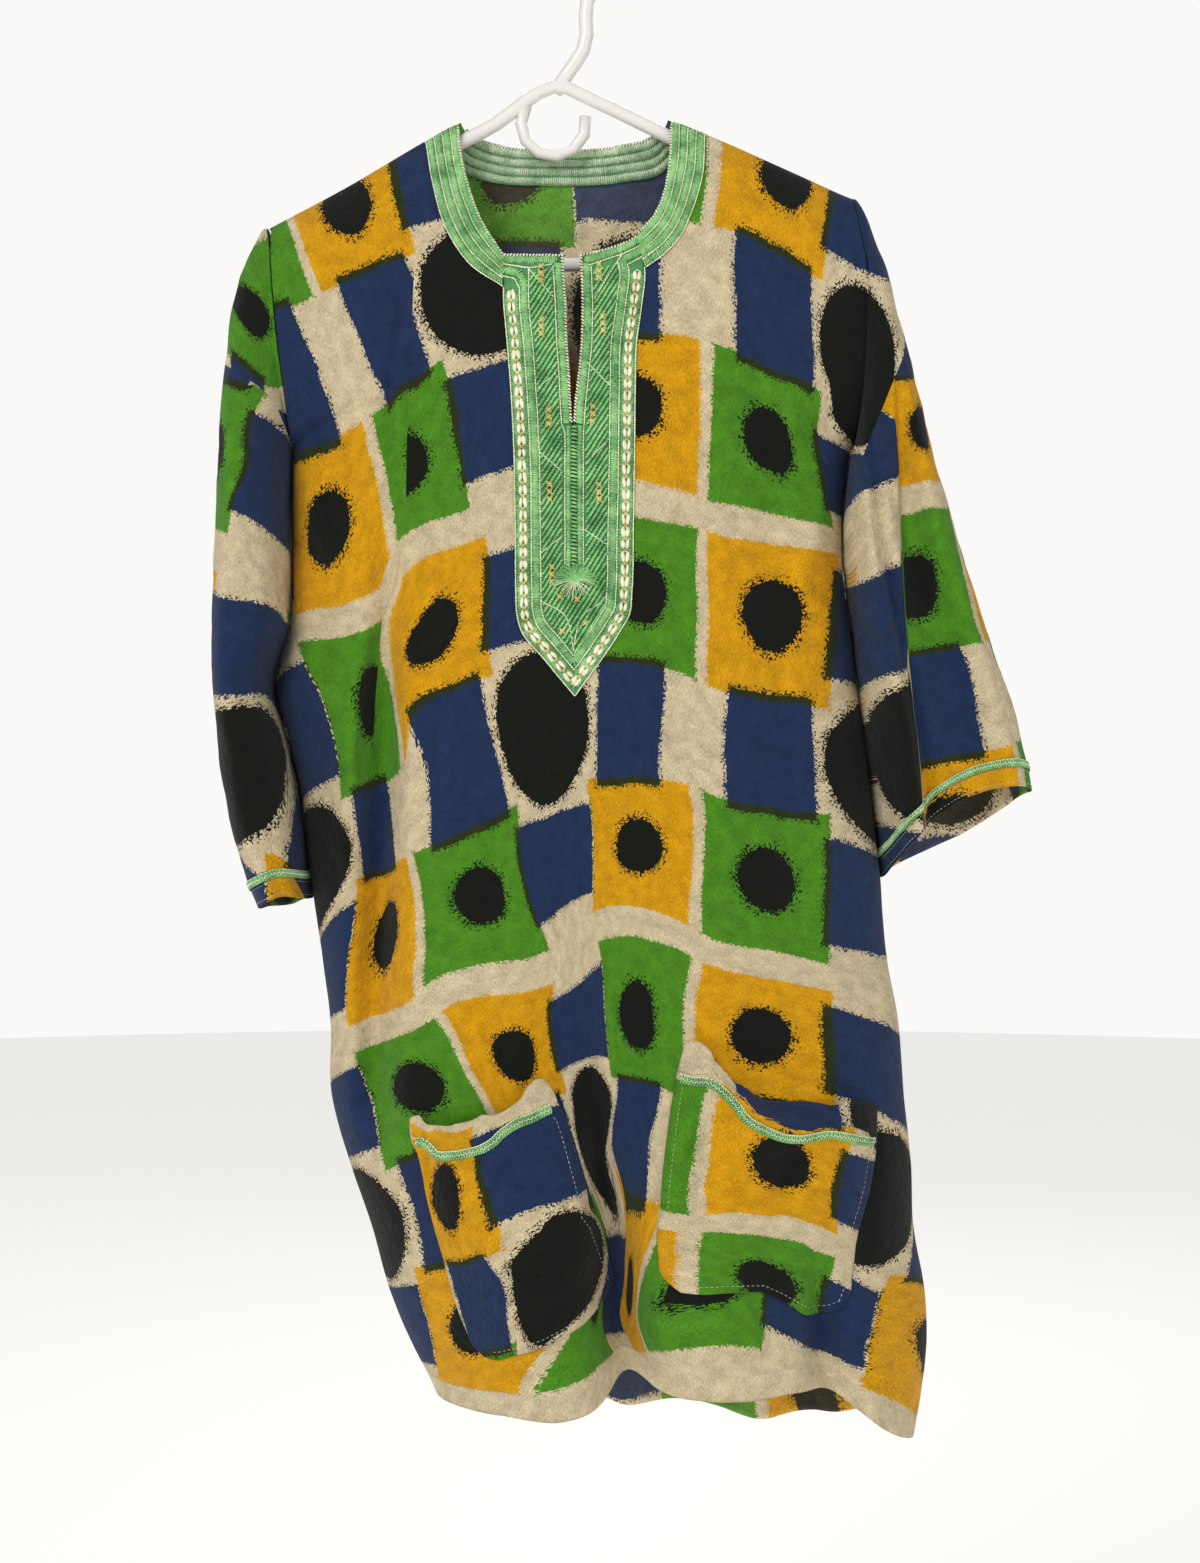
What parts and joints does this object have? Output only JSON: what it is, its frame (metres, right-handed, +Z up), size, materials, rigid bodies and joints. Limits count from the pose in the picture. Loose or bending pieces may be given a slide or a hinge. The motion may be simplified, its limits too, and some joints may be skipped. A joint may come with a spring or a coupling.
{
  "type": "dashiki shirt on a tubular hanger",
  "caption": "Loose printed cotton dashiki with an embroidered, slit placket and banded neck, short sleeves and patch pockets, hung on a white plastic hanger.",
  "frame": {"origin": "where the hanger's hook bears on its rail, on the inside of the hook's top", "axes": "+Z up, -Y the garment's front, +X to the right as the front is seen"},
  "size_m": [0.5696, 0.2375, 1.0701],
  "materials": {
    "print_cotton": "printed brushed cotton, matte, natural ground with green, yellow, navy and black squares, bars and discs",
    "embroidery": "satin-stitched rayon braid and thread, light green with cream lines, silky sheen",
    "braid": "narrow woven braid, light green with cream dots",
    "thread": "cut rayon threads, light green, silky",
    "hanger_plastic": "moulded white plastic, glossy"
  },
  "bodies": {
    "root": {"front": "print_cotton", "back": "print_cotton", "sleeve_left": "print_cotton", "sleeve_right": "print_cotton", "pocket_left": "print_cotton", "pocket_right": "print_cotton", "placket": "embroidery", "neck_band_left": "embroidery", "neck_band_right": "embroidery", "neck_band_back": "embroidery", "pocket_trim_left": "braid", "pocket_trim_right": "braid", "cuff_trim_left": "braid", "cuff_trim_right": "braid", "tuft": "thread", "hanger": "hanger_plastic"}
  },
  "joints": []
}
